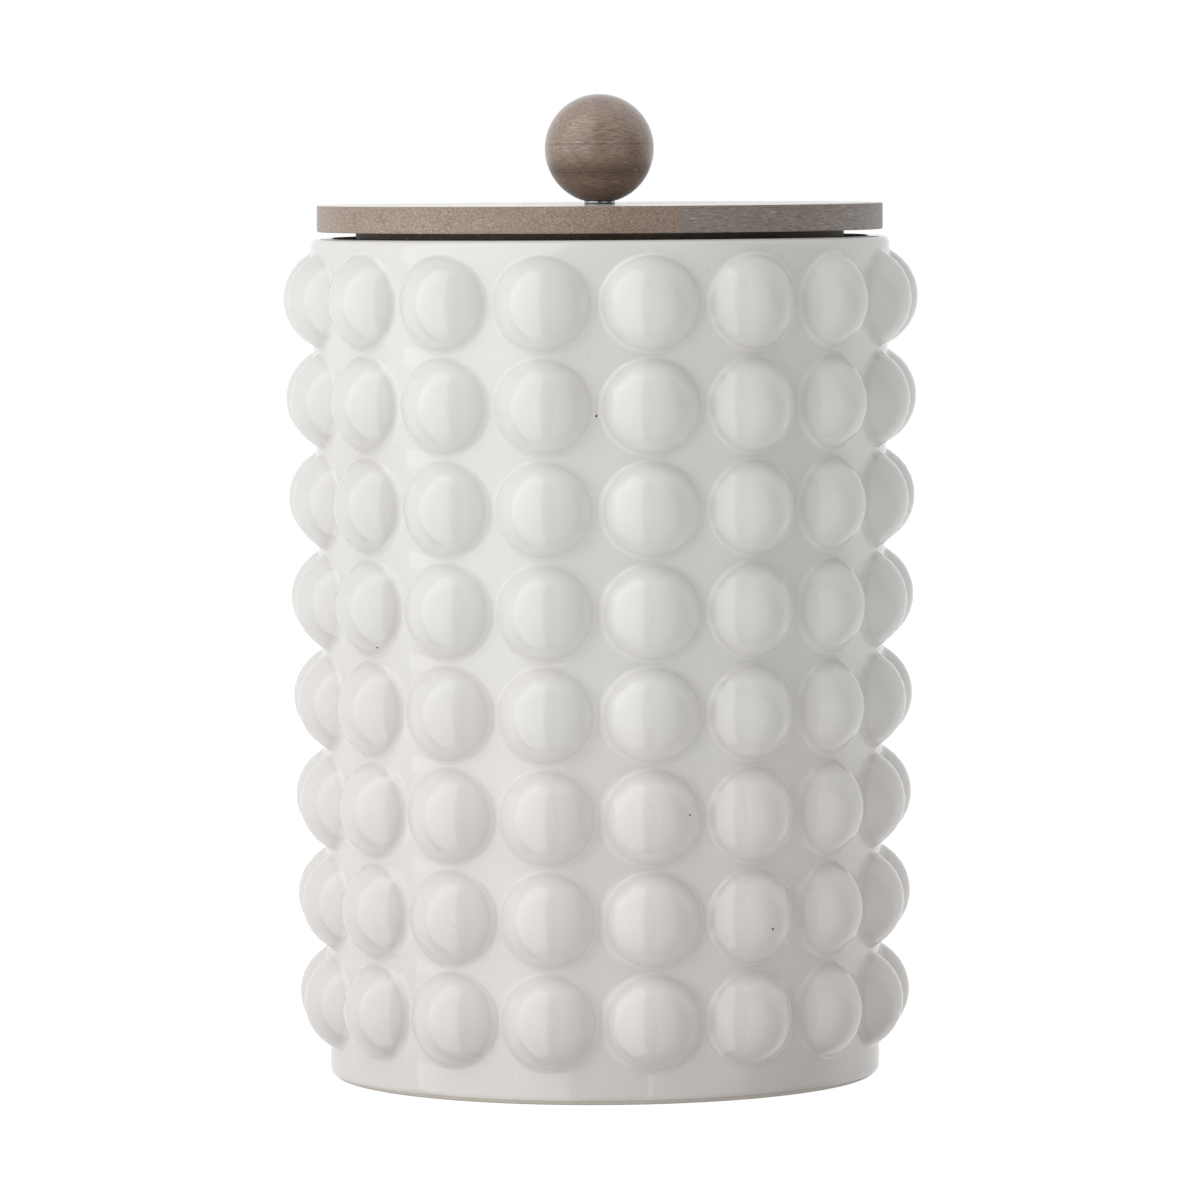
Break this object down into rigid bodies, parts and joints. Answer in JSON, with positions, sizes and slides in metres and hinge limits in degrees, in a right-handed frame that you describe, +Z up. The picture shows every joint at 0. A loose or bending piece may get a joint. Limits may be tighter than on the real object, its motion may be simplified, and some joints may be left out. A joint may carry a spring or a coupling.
{
  "type": "storage jar",
  "caption": "Tall round stoneware storage jar with rows of raised round bosses and a flat wooden lift-off lid with a ball knob and a soft seal.",
  "frame": {"origin": "centre of the jar's underside, on the plane of the foot ring", "axes": "+Z up along the jar's axis, -Y the front as in the picture, between two columns of bosses, with one column at +Y, and +X to the right, square to the lid's glue joints"},
  "size_m": [0.1788, 0.1779, 0.2759],
  "materials": {
    "glaze": "gloss",
    "lid_wood": "satin",
    "lid_wood_grey": "satin",
    "knob_wood": "satin",
    "seal": "matte",
    "plated_steel": "satin"
  },
  "bodies": {
    "jar": {"jar_body": "glaze"},
    "lid": {"lid_board_left": "lid_wood", "lid_board_centre": "lid_wood", "lid_board_right": "lid_wood_grey", "lid_plug": "lid_wood", "seal_ring": "seal", "knob_washer": "plated_steel", "knob": "knob_wood", "knob_screw": "plated_steel"}
  },
  "joints": [
    {"name": "lid_lift", "type": "slide", "parent": "jar", "child": "lid", "axis": [0, 0, 1], "range_m": [0, 0.06]}
  ]
}
